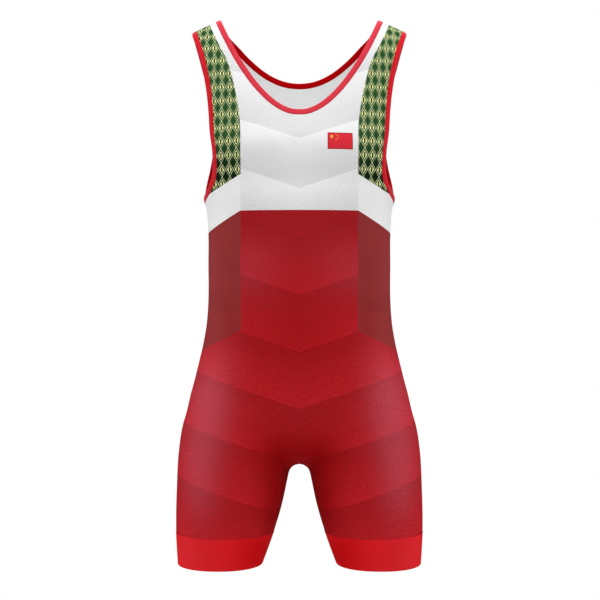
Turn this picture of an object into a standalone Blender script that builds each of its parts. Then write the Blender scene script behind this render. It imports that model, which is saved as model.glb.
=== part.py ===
"""Wrestling singlet in its worn shape: cloth panels, bindings and leg bands.

Metres, +Z up, the front faces -Y and +X is the wearer's left. The origin lies between the
shoulders, at the height where the straps rest on them. The tables are in millimetres.

The garment is symmetric about X = 0, so one half is worked out and then mirrored. A quarter
(one side of the front, or of the back) is one net of points, and every piece is a part of
that net or runs along its edge, so neighbours share their seam line and keep the seam gap.
"""

import bpy
import numpy as np

MM = 0.001
COLLECTION = "wrestling_singlet"

# Cloth sizes
CLOTH_WALL = 1.5
SEAM_GAP = 0.3
BINDING_WIDTH = 9.0
BINDING_WALL = 2.4
BAND_WALL = 1.8
# How far the outer face of a binding stands above the cloth, from its seam to its free edge
BINDING_CROWN = (0.3, 0.8, 0.2)
BAND_RISE = 0.4

# Fineness of the net
ROWS_PER_SECTION = 2
INNER_COLUMNS = 5
OUTER_COLUMNS = 5

# The general figure that fills the cloth. Trunk: height, half width, depth to front and back.
TRUNK_COLUMNS = ("height", "half_width", "front", "back")
TRUNK = (
    (60, 20, 16, 16),
    (35, 78, 32, 30),
    (11, 127, 46, 44),
    (-10, 170, 60, 60),
    (-50, 196, 78, 82),
    (-100, 188, 94, 98),
    (-150, 176, 107, 108),
    (-194, 168, 115, 111),
    (-234, 161, 118, 110),
    (-262, 155, 117, 108),
    (-290, 148, 115, 105),
    (-330, 145, 110, 99),
    (-378, 145, 104, 92),
    (-434, 145, 99, 90),
    (-474, 148, 98, 95),
    (-514, 155, 99, 104),
    (-554, 162, 101, 114),
    (-594, 170, 101, 121),
    (-640, 173, 98, 122),
    (-700, 168, 92, 116),
)
TRUNK_SQUARENESS = 2.45
TRUNK_ROUNDS_FROM = -565
TRUNK_ENDS_AT = -695

# One leg: height, centre, half width, and depth from the centre to front and back
LEG_COLUMNS = ("height", "centre_x", "centre_y", "half_width", "front", "back")
LEG = (
    (-500, 74, 0, 74, 80, 84),
    (-560, 80, 0, 81, 92, 100),
    (-594, 87, 0, 86, 96, 110),
    (-634, 97, -1, 89, 96, 112),
    (-674, 103, -2, 89, 94, 104),
    (-702, 105, -3, 89, 92, 98),
    (-728, 108, -3, 87, 90, 92),
    (-760, 112, -4, 84, 88, 87),
    (-794, 117, -6, 79, 83, 82),
    (-834, 123, -8, 71, 76, 74),
    (-860, 127, -9, 65, 72, 69),
    (-900, 132, -10, 58, 68, 66),
)
LEG_SQUARENESS = 2.15
LEG_ROUNDS_FROM = -560
LEG_STARTS_AT = -470
BODY_BLEND = 18.0

# Sections down one quarter of the garment. Each gives a point on the inner line (neckline, then
# centre line, then inseam), on the panel seam, and on the outer line (armhole, then side).
FRONT_SECTIONS = (
    ("shoulder", (133, 0, 8), (141, 0, 4), (162, 0, -4)),
    ("strap_top", (120, -55, -24), (130, -55, -27), (156, -50, -30)),
    ("strap_upper", (98, -77, -67), (111, -75, -66), (144, -62, -65)),
    ("strap_middle", (72, -92, -106), (100, -86, -105), (136, -72, -105)),
    ("chest_top", (46, -101, -134), (93, -95, -140), (131, -76, -140)),
    ("neck_curve", (22, -107, -149), (89, -102, -175), (129, -80, -175)),
    ("neck_low", (0, -108, -153), (88, -105, -205), (125, -83, -205)),
    ("chest", (0, -115, -190), (89, -105, -235), (123, -79, -236)),
    ("chest_low", (0, -117, -222), (90, -103, -258), (128, -68, -258)),
    ("armhole_curve", (0, -117, -250), (90, -102, -275), (138, -45, -274)),
    ("armhole_low", (0, -116, -280), (90, -101, -293), (151, 0, -283)),
    ("ribs", (0, -110, -330), (90, -96, -338), (149, 0, -336)),
    ("waist", (0, -104, -375), (90, -89, -385), (146, 0, -396)),
    ("belly", (0, -100, -420), (90, -86, -433), (147, 0, -462)),
    ("side_panel_low", (0, -99, -465), (90, -86, -480), (156, 0, -536)),
    ("hip_top", (0, -99, -520), (94, -95, -532), (166, 0, -575)),
    ("hip", (0, -101, -580), (98, -98, -588), (176, 0, -612)),
    ("fork_top", (0, -90, -642), (101, -96, -640), (184, 0, -650)),
    ("fork_curve", (0, -50, -688), (103, -95, -682), (190, 0, -690)),
    ("crotch", (0, 0, -697), (105, -94, -712), (194, 0, -722)),
    ("crotch_side", (14, 0, -702), (107, -93, -726), (195, 0, -734)),
    ("thigh", (21, 0, -734), (110, -90, -750), (196, 0, -756)),
    ("thigh_low", (31, 0, -768), (114, -88, -775), (196, 0, -778)),
    ("band_top", (41, 0, -801), (118, -84, -801), (196, 0, -801)),
    ("hem", (59, 0, -851), (126, -80, -851), (193, 0, -851)),
)
BACK_SECTIONS = (
    ("shoulder", (133, 0, 8), (141, 0, 4), (162, 0, -4)),
    ("strap_top", (124, 40, -8), (132, 45, -18), (159, 40, -24)),
    ("strap_upper", (105, 60, -26), (121, 62, -45), (152, 62, -55)),
    ("strap_middle", (84, 73, -46), (110, 74, -75), (145, 72, -85)),
    ("chest_top", (58, 83, -65), (101, 83, -105), (140, 78, -115)),
    ("neck_curve", (30, 90, -77), (95, 90, -135), (137, 81, -145)),
    ("neck_low", (0, 92, -81), (91, 96, -165), (138, 82, -175)),
    ("chest", (0, 100, -125), (89, 101, -200), (142, 77, -205)),
    ("chest_low", (0, 106, -170), (89, 104, -235), (147, 62, -236)),
    ("armhole_curve", (0, 109, -215), (90, 104, -263), (151, 33, -268)),
    ("armhole_low", (0, 109, -262), (90, 102, -291), (151, 0, -283)),
    ("ribs", (0, 100, -320), (90, 90, -338), (149, 0, -336)),
    ("waist", (0, 93, -375), (90, 82, -385), (146, 0, -396)),
    ("belly", (0, 91, -425), (90, 80, -433), (147, 0, -462)),
    ("side_panel_low", (0, 94, -470), (90, 85, -480), (156, 0, -536)),
    ("hip_top", (0, 105, -525), (94, 98, -532), (166, 0, -575)),
    ("hip", (0, 117, -580), (98, 110, -588), (176, 0, -612)),
    ("fork_top", (0, 104, -640), (101, 112, -640), (184, 0, -650)),
    ("fork_curve", (0, 55, -688), (103, 108, -682), (190, 0, -690)),
    ("crotch", (0, 0, -697), (105, 98, -712), (194, 0, -722)),
    ("crotch_side", (14, 0, -702), (107, 94, -726), (195, 0, -734)),
    ("thigh", (21, 0, -734), (110, 89, -750), (196, 0, -756)),
    ("thigh_low", (31, 0, -768), (114, 86, -775), (196, 0, -778)),
    ("band_top", (41, 0, -801), (118, 79, -801), (196, 0, -801)),
    ("hem", (59, 0, -851), (126, 70, -851), (193, 0, -851)),
)
SECTION_NAMES = [section[0] for section in FRONT_SECTIONS]
# Where the inner and the outer line turn a corner
INNER_CORNERS = ("neck_low", "crotch")
OUTER_CORNERS = ("armhole_low",)

# Soft folds of the worn cloth, each with its mirror image: start, end, width, and height above
# the cloth, or depth below it where the height is negative
FOLDS = (
    ((60, -102, -600), (150, -60, -545), 22, -2.5),
    ((52, -104, -625), (150, -66, -585), 18, 2.0),
    ((110, -78, -430), (146, -20, -405), 20, 1.8),
    ((105, -80, -462), (148, -25, -440), 16, -1.6),
    ((30, 92, -400), (125, 62, -420), 24, 2.2),
    ((20, 92, -440), (130, 60, -455), 20, -2.0),
    ((45, 112, -655), (120, 108, -668), 22, -3.0),
)

# Points inside the openings, which tell a binding its free side
NECK_MIDDLE = (0, 0, 0)
ARMHOLE_MIDDLE = (200, 0, -120)

# Steps that bring a guide point onto the figure, and the probe that measures its slope
STEPS_TO_SURFACE = 14
PROBE = 0.5
NEARLY_ZERO = 1e-6
# Points this near are one point
SAME_POINT = 0.01
SHARP_ANGLE = 50

# Colour, roughness and metallic of each piece
RED = ((0.42, 0.012, 0.022), 0.7, 0.0)
DARK_RED = ((0.24, 0.012, 0.02), 0.7, 0.0)
BAND_RED = ((0.55, 0.012, 0.018), 0.6, 0.0)
BINDING_RED = ((0.60, 0.015, 0.035), 0.6, 0.0)


def row_of(name):
    """The net's row on a named section."""
    return SECTION_NAMES.index(name) * ROWS_PER_SECTION


def curve_through(xs, values, at):
    """A smooth curve through values at rising xs, read at other places."""
    xs = np.asarray(xs, float)
    values = np.asarray(values, float)
    steps = np.diff(xs)
    rises = np.diff(values, axis=0) / steps.reshape(-1, *[1] * (values.ndim - 1))
    weights = (steps[1:] / (steps[:-1] + steps[1:])).reshape(-1, *[1] * (values.ndim - 1))
    slopes = np.empty_like(values)
    slopes[1:-1] = weights * rises[:-1] + (1 - weights) * rises[1:]
    slopes[0] = 2 * rises[0] - slopes[1] if len(xs) > 2 else rises[0]
    slopes[-1] = 2 * rises[-1] - slopes[-2] if len(xs) > 2 else rises[-1]
    at = np.clip(at, xs[0], xs[-1])
    span = np.clip(np.searchsorted(xs, at, side="right") - 1, 0, len(steps) - 1)
    extra = [1] * (values.ndim - 1)
    width = steps[span].reshape(*span.shape, *extra)
    t = ((at - xs[span]) / steps[span]).reshape(*span.shape, *extra)
    start = (2 * t**3 - 3 * t**2 + 1) * values[span] + (t**3 - 2 * t**2 + t) * width * slopes[span]
    end = (3 * t**2 - 2 * t**3) * values[span + 1] + (t**3 - t**2) * width * slopes[span + 1]
    return start + end


def column_at(table, columns, name, height):
    """A named column of a table of heights, read at other heights."""
    rows = sorted(table)
    place = columns.index(name)
    return curve_through([row[0] for row in rows], [row[place] for row in rows], height)


def rounded_tube(across, deep, past_end, end_length, half_width, half_depth, squareness):
    """How far points lie outside a tube with a rounded end, negative inside."""
    across = np.abs(across) + NEARLY_ZERO
    ratio = (
        (across / half_width) ** squareness
        + np.abs(deep / half_depth) ** squareness
        + (past_end / end_length) ** squareness
    ) ** (1 / squareness)
    reach = np.sqrt(across**2 + deep**2 + past_end**2)
    return reach * (1 - 1 / ratio)


def outside_figure(points):
    """How far points lie outside the figure, negative inside."""
    x, y, z = points[..., 0], points[..., 1], points[..., 2]
    trunk_depth = np.where(
        y < 0,
        column_at(TRUNK, TRUNK_COLUMNS, "front", z),
        column_at(TRUNK, TRUNK_COLUMNS, "back", z),
    )
    trunk = rounded_tube(
        x,
        y,
        np.clip(TRUNK_ROUNDS_FROM - z, 0, None),
        TRUNK_ROUNDS_FROM - TRUNK_ENDS_AT,
        column_at(TRUNK, TRUNK_COLUMNS, "half_width", z),
        trunk_depth,
        TRUNK_SQUARENESS,
    )
    from_leg_x = np.abs(x) - column_at(LEG, LEG_COLUMNS, "centre_x", z)
    from_leg_y = y - column_at(LEG, LEG_COLUMNS, "centre_y", z)
    leg_depth = np.where(
        from_leg_y < 0,
        column_at(LEG, LEG_COLUMNS, "front", z),
        column_at(LEG, LEG_COLUMNS, "back", z),
    )
    leg = rounded_tube(
        from_leg_x,
        from_leg_y,
        np.clip(z - LEG_ROUNDS_FROM, 0, None),
        LEG_STARTS_AT - LEG_ROUNDS_FROM,
        column_at(LEG, LEG_COLUMNS, "half_width", z),
        leg_depth,
        LEG_SQUARENESS,
    )
    near = np.clip(BODY_BLEND - np.abs(trunk - leg), 0, None) / BODY_BLEND
    return np.minimum(trunk, leg) - near**2 * BODY_BLEND / 4


def outward(points):
    """The slope of the figure's surface at points: its direction points out of the cloth."""
    slope = np.empty(points.shape)
    for axis in range(3):
        step = np.zeros(3)
        step[axis] = PROBE
        slope[..., axis] = outside_figure(points + step) - outside_figure(points - step)
    return slope / (2 * PROBE)


def unit(vectors):
    return vectors / np.linalg.norm(vectors, axis=-1, keepdims=True)


def onto_figure(points, free=(1, 1, 1)):
    """Moves points onto the figure's surface, only along the axes that are free."""
    points = np.array(points, float)
    for _ in range(STEPS_TO_SURFACE):
        slope = outward(points) * np.asarray(free, float)
        points -= outside_figure(points)[..., None] * slope / (slope**2).sum(-1, keepdims=True)
    return points


def fold_height(points):
    """The height of the soft folds at points, fading towards each fold's ends."""
    height = np.zeros(points.shape[:-1])
    on_left = np.stack([np.abs(points[..., 0]), points[..., 1], points[..., 2]], axis=-1)
    for start, end, width, rise in FOLDS:
        along = np.subtract(end, start)
        share = np.clip((on_left - start) @ along / (along @ along), 0, 1)
        distance = np.linalg.norm(on_left - start - share[..., None] * along, axis=-1)
        fade = 4 * share * (1 - share)
        height += rise * fade * np.exp(-((distance / width) ** 2))
    return height


def line_down(points, corners, samples):
    """A line through one point of each section, smooth except at its corners."""
    points = np.array(points, float)
    ends = [0] + [SECTION_NAMES.index(name) for name in corners] + [len(points) - 1]
    line = np.empty((len(samples), 3))
    for first, last in zip(ends, ends[1:]):
        run = (samples >= first) & (samples <= last)
        line[run] = curve_through(range(first, last + 1), points[first : last + 1], samples[run])
    return line


def quarter_net(sections):
    """The net of points of one quarter, as rows down the body by columns outwards."""
    samples = np.arange(0, (len(sections) - 1) * ROWS_PER_SECTION + 1) / ROWS_PER_SECTION
    inner = line_down([row[1] for row in sections], INNER_CORNERS, samples)
    seam = line_down([row[2] for row in sections], (), samples)
    outer = line_down([row[3] for row in sections], OUTER_CORNERS, samples)
    free = np.ones((len(samples), INNER_COLUMNS + OUTER_COLUMNS + 1, 3))
    free[0, :, 1] = 0
    free[row_of("neck_low") : row_of("crotch") + 1, 0, 0] = 0
    free[row_of("crotch") :, 0, 1] = 0
    free[row_of("armhole_low") :, -1, 1] = 0
    free[row_of("band_top") :, :, 2] = 0
    net = np.empty(free.shape)
    for column in range(INNER_COLUMNS):
        net[:, column] = inner + (seam - inner) * column / INNER_COLUMNS
    for column in range(OUTER_COLUMNS + 1):
        net[:, INNER_COLUMNS + column] = seam + (outer - seam) * column / OUTER_COLUMNS
    return onto_figure(net, free)


def grid_faces(rows, columns, ring=False):
    """The four-sided faces of a grid of points, closed round its rows if it is a ring."""
    faces = []
    for row in range(rows if ring else rows - 1):
        after = (row + 1) % rows
        for column in range(columns - 1):
            here = row * columns + column
            there = after * columns + column
            faces.append((here, there, there + 1, here + 1))
    return faces


def patch(net, keep, flip):
    """The part of a net where keep(row, column) is true of a face, with its faces' order."""
    rows, columns = net.shape[:2]
    faces = [
        face
        for face in grid_faces(rows, columns)
        if keep(face[0] // columns, face[0] % columns)
    ]
    if flip:
        faces = [face[::-1] for face in faces]
    return net.reshape(-1, 3), faces


def mirrored(points, faces):
    """The same patch on the other side of X = 0."""
    return points * (-1, 1, 1), [face[::-1] for face in faces]


def joined(patches):
    """Patches as one, with the points that they share made one."""
    place = {}
    points = []
    faces = []
    for patch_points, patch_faces in patches:
        for face in patch_faces:
            corners = []
            for corner in face:
                key = tuple(np.round(patch_points[corner] / SAME_POINT).astype(int))
                if key not in place:
                    place[key] = len(points)
                    points.append(patch_points[corner])
                corners.append(place[key])
            faces.append(tuple(corners))
    return np.array(points), faces


def rim_of(faces):
    """The edges that only one face uses, in that face's direction, each with its face."""
    edges = {}
    for face in faces:
        for start, end in zip(face, face[1:] + face[:1]):
            edges[start, end] = face
    return {edge: face for edge, face in edges.items() if edge[::-1] not in edges}


def pulled_in(points, faces):
    """The points with each free edge moved half a seam gap into its piece."""
    from_edge_before = {}
    from_edge_after = {}
    for (start, end), face in rim_of(faces).items():
        along = unit(points[end] - points[start])
        inward = points[list(face)].mean(0) - points[start]
        inward = unit(inward - (inward @ along) * along)
        from_edge_after[start] = inward
        from_edge_before[end] = inward
    moved = points.copy()
    for corner, inward in from_edge_after.items():
        other = from_edge_before[corner]
        moved[corner] += SEAM_GAP / 2 * (inward + other) / (1 + inward @ other)
    return moved


def wall(name, points, faces, rise, thickness, finish, collection):
    """A cloth piece: its outer face stands rise above the figure, its inner face below that."""
    normals = unit(outward(points))
    points = pulled_in(points, faces)
    folds = fold_height(points)[:, None]
    outer = points + normals * (np.reshape(rise, (-1, 1)) + folds)
    inner = outer - normals * np.reshape(thickness, (-1, 1))
    count = len(points)
    solid_faces = list(faces)
    solid_faces += [tuple(count + corner for corner in face[::-1]) for face in faces]
    solid_faces += [(end, start, count + start, count + end) for start, end in rim_of(faces)]
    mesh = bpy.data.meshes.new(name)
    mesh.from_pydata((np.concatenate([outer, inner]) * MM).tolist(), [], solid_faces)
    mesh.validate()
    mesh.update()
    mesh.shade_smooth()
    mesh.set_sharp_from_angle(angle=np.radians(SHARP_ANGLE))
    mesh.materials.append(material_of(name, finish))
    piece = bpy.data.objects.new(name, mesh)
    collection.objects.link(piece)
    return piece


def material_of(name, finish):
    """A plain material of one colour."""
    colour, roughness, metallic = finish
    material = bpy.data.materials.new(name)
    material.use_nodes = True
    shader = material.node_tree.nodes["Principled BSDF"]
    shader.inputs["Base Color"].default_value = (*colour, 1)
    shader.inputs["Roughness"].default_value = roughness
    shader.inputs["Metallic"].default_value = metallic
    return material


def centre_panel(name, net, flip, collection):
    """The front or the back: its middle above the side panels' ends, its whole width below."""

    def keep(row, column):
        beside_side_panel = row < row_of("side_panel_low") and column >= INNER_COLUMNS
        return row < row_of("band_top") and not beside_side_panel

    half = patch(net, keep, flip)
    points, faces = joined([half, mirrored(*half)])
    wall(name, points, faces, 0.0, CLOTH_WALL, RED, collection)


def side_panel(side, nets, collection):
    """A side panel: from the front strap under the arm to the back strap."""

    def keep(row, column):
        return row < row_of("side_panel_low") and column >= INNER_COLUMNS

    patches = [patch(nets["front"], keep, False), patch(nets["back"], keep, True)]
    if side == "right":
        patches = [mirrored(*half) for half in patches]
    points, faces = joined(patches)
    wall(f"side_panel_{side}", points, faces, 0.0, CLOTH_WALL, DARK_RED, collection)


def binding(name, edge, opening, flipped_over, collection):
    """A folded strip along a closed edge of the cloth, on the side of the opening."""
    along = unit(np.roll(edge, -1, 0) - np.roll(edge, 1, 0))
    across = unit(np.cross(along, unit(outward(edge))))
    turned = ((opening - edge) * across).sum() < 0
    if turned:
        across = -across
    shares = np.linspace(0, 1, len(BINDING_CROWN))
    strip = [onto_figure(edge + across * BINDING_WIDTH * share) for share in shares]
    strip = np.stack(strip, axis=1)
    points = strip.reshape(-1, 3)
    faces = grid_faces(*strip.shape[:2], ring=True)
    if not turned:
        faces = [face[::-1] for face in faces]
    if flipped_over:
        points, faces = mirrored(points, faces)
    rise = np.tile(BINDING_CROWN, len(edge))
    wall(name, points, faces, rise, BINDING_WALL, BINDING_RED, collection)


def neck_edge(nets):
    """The closed line of the cloth's edge round the neck."""
    low = row_of("neck_low")
    half = np.concatenate([nets["front"][low::-1, 0], nets["back"][1 : low + 1, 0]])
    other_half = (half * (-1, 1, 1))[-2:0:-1]
    return np.concatenate([half, other_half])


def armhole_edge(nets):
    """The closed line of the cloth's edge round the left armhole."""
    low = row_of("armhole_low")
    return np.concatenate([nets["front"][: low + 1, -1], nets["back"][low - 1 : 0 : -1, -1]])


def leg_band(side, nets, collection):
    """The hem band, a closed ring round one leg."""
    rows = slice(row_of("band_top"), None)
    front = nets["front"][rows]
    back = nets["back"][rows, -2:0:-1]
    ring = np.concatenate([front, back], axis=1).swapaxes(0, 1)
    points = ring.reshape(-1, 3)
    faces = [face[::-1] for face in grid_faces(*ring.shape[:2], ring=True)]
    if side == "right":
        points, faces = mirrored(points, faces)
    wall(f"leg_band_{side}", points, faces, BAND_RISE, BAND_WALL, BAND_RED, collection)


def main():
    for old in list(bpy.data.objects):
        bpy.data.objects.remove(old)
    collection = bpy.data.collections.new(COLLECTION)
    bpy.context.scene.collection.children.link(collection)
    nets = {"front": quarter_net(FRONT_SECTIONS), "back": quarter_net(BACK_SECTIONS)}
    centre_panel("front_panel", nets["front"], False, collection)
    centre_panel("back_panel", nets["back"], True, collection)
    for side in ("left", "right"):
        side_panel(side, nets, collection)
        leg_band(side, nets, collection)
    binding("neck_binding", neck_edge(nets), NECK_MIDDLE, False, collection)
    for side in ("left", "right"):
        edge = armhole_edge(nets)
        binding(f"armhole_binding_{side}", edge, ARMHOLE_MIDDLE, side == "right", collection)


main()
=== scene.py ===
"""Looks of the wrestling singlet: its knit panels, bindings, leg bands, sewing and prints.

The scene is in metres and the tables are in millimetres. The front faces -Y, +X is the
wearer's left, and the origin lies between the shoulders. The cloth is the same net of points
as its solids, only finer: a quarter of the garment is worked out and mirrored about X = 0.
"""

import bpy
import numpy as np
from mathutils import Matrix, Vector
from mathutils.kdtree import KDTree


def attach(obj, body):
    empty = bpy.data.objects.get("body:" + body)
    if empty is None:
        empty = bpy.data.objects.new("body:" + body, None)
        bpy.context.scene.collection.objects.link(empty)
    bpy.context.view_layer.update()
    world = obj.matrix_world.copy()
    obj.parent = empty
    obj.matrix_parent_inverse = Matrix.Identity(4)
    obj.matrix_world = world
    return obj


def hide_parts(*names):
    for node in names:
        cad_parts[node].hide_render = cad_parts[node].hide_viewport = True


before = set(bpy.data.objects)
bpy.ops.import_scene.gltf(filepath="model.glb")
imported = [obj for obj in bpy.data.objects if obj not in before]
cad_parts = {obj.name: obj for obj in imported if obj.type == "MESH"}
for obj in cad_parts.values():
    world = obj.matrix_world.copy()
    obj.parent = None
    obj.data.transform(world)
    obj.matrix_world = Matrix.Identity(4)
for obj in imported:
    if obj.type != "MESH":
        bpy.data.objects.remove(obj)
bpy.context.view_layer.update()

MM = 0.001
BODY = "root"

# Cloth sizes
CLOTH_WALL = 1.3
BINDING_WIDTH = 9.0
BINDING_TUCK = 0.7
BINDING_MIDDLE = -0.65
BINDING_HALF_WALL = 1.4
BINDING_SQUARENESS = 2.2
BINDING_SIDES = 18
BAND_WALL = 1.7
BAND_RISE = 0.4

# Seams: a raised allowance with a groove in its middle, and edges rounded off
GROOVE_DEPTH = 0.14
GROOVE_WIDTH = 0.8
ALLOWANCE_RISE = 0.2
ALLOWANCE_WIDTH = 4.0
EDGE_ROUNDING = 0.35

# Stitches: pitch along the row, length, half width and height of a thread
STITCH_PITCH = 3.2
STITCH_LENGTH = 2.4
STITCH_HALF_WIDTH = 0.24
STITCH_RISE = 0.16
# A thread bead's faces, as places among its two ends, two sides, underside and top
BEAD_FACES = ((0, 2, 5), (2, 1, 5), (1, 3, 5), (3, 0, 5), (2, 0, 4), (1, 2, 4), (3, 1, 4), (0, 3, 4))
SEAM_STITCHES_AT = 1.5
SEAM_STITCH_RISE = 0.06
BINDING_STITCHES_AT = 0.9

# Fineness of the net
ROWS_PER_SECTION = 8
INNER_COLUMNS = 18
OUTER_COLUMNS = 16
# Extra rows and columns beside a seam, as shares of a section or of a panel's width
BESIDE_SEAM = (0.009, 0.024)

# The general figure that fills the cloth. Trunk: height, half width, depth to front and back.
TRUNK = (
    (60, 20, 16, 16),
    (35, 78, 32, 30),
    (11, 127, 46, 44),
    (-10, 170, 60, 60),
    (-50, 196, 78, 82),
    (-100, 188, 94, 98),
    (-150, 176, 107, 108),
    (-194, 168, 115, 111),
    (-234, 161, 118, 110),
    (-262, 155, 117, 108),
    (-290, 148, 115, 105),
    (-330, 145, 110, 99),
    (-378, 145, 104, 92),
    (-434, 145, 99, 90),
    (-474, 148, 98, 95),
    (-514, 155, 99, 104),
    (-554, 162, 101, 114),
    (-594, 170, 101, 121),
    (-640, 173, 98, 122),
    (-700, 168, 92, 116),
)
TRUNK_SQUARENESS = 2.45
TRUNK_ROUNDS_FROM = -565
TRUNK_ENDS_AT = -695

# One leg: height, its centre across and deep, half width, and depth from there to front and back
LEG = (
    (-500, 74, 0, 74, 80, 84),
    (-560, 80, 0, 81, 92, 100),
    (-594, 87, 0, 86, 96, 110),
    (-634, 97, -1, 89, 96, 112),
    (-674, 103, -2, 89, 94, 104),
    (-702, 105, -3, 89, 92, 98),
    (-728, 108, -3, 87, 90, 92),
    (-760, 112, -4, 84, 88, 87),
    (-794, 117, -6, 79, 83, 82),
    (-834, 123, -8, 71, 76, 74),
    (-860, 127, -9, 65, 72, 69),
    (-900, 132, -10, 58, 68, 66),
)
LEG_SQUARENESS = 2.15
LEG_ROUNDS_FROM = -560
LEG_STARTS_AT = -470
BODY_BLEND = 18.0

# Sections down one quarter of the garment. Each gives a point on the inner line (neckline, then
# centre line, then inseam), on the panel seam, and on the outer line (armhole, then side).
FRONT_SECTIONS = (
    ("shoulder", (133, 0, 8), (141, 0, 4), (162, 0, -4)),
    ("strap_top", (120, -55, -24), (130, -55, -27), (156, -50, -30)),
    ("strap_upper", (98, -77, -67), (111, -75, -66), (144, -62, -65)),
    ("strap_middle", (72, -92, -106), (100, -86, -105), (136, -72, -105)),
    ("chest_top", (46, -101, -134), (93, -95, -140), (131, -76, -140)),
    ("neck_curve", (22, -107, -149), (89, -102, -175), (129, -80, -175)),
    ("neck_low", (0, -108, -153), (88, -105, -205), (125, -83, -205)),
    ("chest", (0, -115, -190), (89, -105, -235), (123, -79, -236)),
    ("chest_low", (0, -117, -222), (90, -103, -258), (128, -68, -258)),
    ("armhole_curve", (0, -117, -250), (90, -102, -275), (138, -45, -274)),
    ("armhole_low", (0, -116, -280), (90, -101, -293), (151, 0, -283)),
    ("ribs", (0, -110, -330), (90, -96, -338), (149, 0, -336)),
    ("waist", (0, -104, -375), (90, -89, -385), (146, 0, -396)),
    ("belly", (0, -100, -420), (90, -86, -433), (147, 0, -462)),
    ("side_panel_low", (0, -99, -465), (90, -86, -480), (156, 0, -536)),
    ("hip_top", (0, -99, -520), (94, -95, -532), (166, 0, -575)),
    ("hip", (0, -101, -580), (98, -98, -588), (176, 0, -612)),
    ("fork_top", (0, -90, -642), (101, -96, -640), (184, 0, -650)),
    ("fork_curve", (0, -50, -688), (103, -95, -682), (190, 0, -690)),
    ("crotch", (0, 0, -697), (105, -94, -712), (194, 0, -722)),
    ("crotch_side", (14, 0, -702), (107, -93, -726), (195, 0, -734)),
    ("thigh", (21, 0, -734), (110, -90, -750), (196, 0, -756)),
    ("thigh_low", (31, 0, -768), (114, -88, -775), (196, 0, -778)),
    ("band_top", (41, 0, -801), (118, -84, -801), (196, 0, -801)),
    ("hem", (59, 0, -851), (126, -80, -851), (193, 0, -851)),
)
BACK_SECTIONS = (
    ("shoulder", (133, 0, 8), (141, 0, 4), (162, 0, -4)),
    ("strap_top", (124, 40, -8), (132, 45, -18), (159, 40, -24)),
    ("strap_upper", (105, 60, -26), (121, 62, -45), (152, 62, -55)),
    ("strap_middle", (84, 73, -46), (110, 74, -75), (145, 72, -85)),
    ("chest_top", (58, 83, -65), (101, 83, -105), (140, 78, -115)),
    ("neck_curve", (30, 90, -77), (95, 90, -135), (137, 81, -145)),
    ("neck_low", (0, 92, -81), (91, 96, -165), (138, 82, -175)),
    ("chest", (0, 100, -125), (89, 101, -200), (142, 77, -205)),
    ("chest_low", (0, 106, -170), (89, 104, -235), (147, 62, -236)),
    ("armhole_curve", (0, 109, -215), (90, 104, -263), (151, 33, -268)),
    ("armhole_low", (0, 109, -262), (90, 102, -291), (151, 0, -283)),
    ("ribs", (0, 100, -320), (90, 90, -338), (149, 0, -336)),
    ("waist", (0, 93, -375), (90, 82, -385), (146, 0, -396)),
    ("belly", (0, 91, -425), (90, 80, -433), (147, 0, -462)),
    ("side_panel_low", (0, 94, -470), (90, 85, -480), (156, 0, -536)),
    ("hip_top", (0, 105, -525), (94, 98, -532), (166, 0, -575)),
    ("hip", (0, 117, -580), (98, 110, -588), (176, 0, -612)),
    ("fork_top", (0, 104, -640), (101, 112, -640), (184, 0, -650)),
    ("fork_curve", (0, 55, -688), (103, 108, -682), (190, 0, -690)),
    ("crotch", (0, 0, -697), (105, 98, -712), (194, 0, -722)),
    ("crotch_side", (14, 0, -702), (107, 94, -726), (195, 0, -734)),
    ("thigh", (21, 0, -734), (110, 89, -750), (196, 0, -756)),
    ("thigh_low", (31, 0, -768), (114, 86, -775), (196, 0, -778)),
    ("band_top", (41, 0, -801), (118, 79, -801), (196, 0, -801)),
    ("hem", (59, 0, -851), (126, 70, -851), (193, 0, -851)),
)
SECTION_NAMES = [section[0] for section in FRONT_SECTIONS]
# Where the inner and the outer line turn a corner, and the sections that are sewn across
INNER_CORNERS = ("neck_low", "crotch")
OUTER_CORNERS = ("armhole_low",)
SEWN_ACROSS = ("side_panel_low", "band_top", "hem")

# Soft folds of the worn cloth, each with its mirror image: start, end, width, and height above
# the cloth, or depth below it where the height is negative
FOLDS = (
    ((60, -102, -600), (150, -60, -545), 22, -2.5),
    ((52, -104, -625), (150, -66, -585), 18, 2.0),
    ((110, -78, -430), (146, -20, -405), 20, 1.8),
    ((105, -80, -462), (148, -25, -440), 16, -1.6),
    ((30, 92, -400), (125, 62, -420), 24, 2.2),
    ((20, 92, -440), (130, 60, -455), 20, -2.0),
    ((45, 112, -655), (120, 108, -668), 22, -3.0),
)
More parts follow.
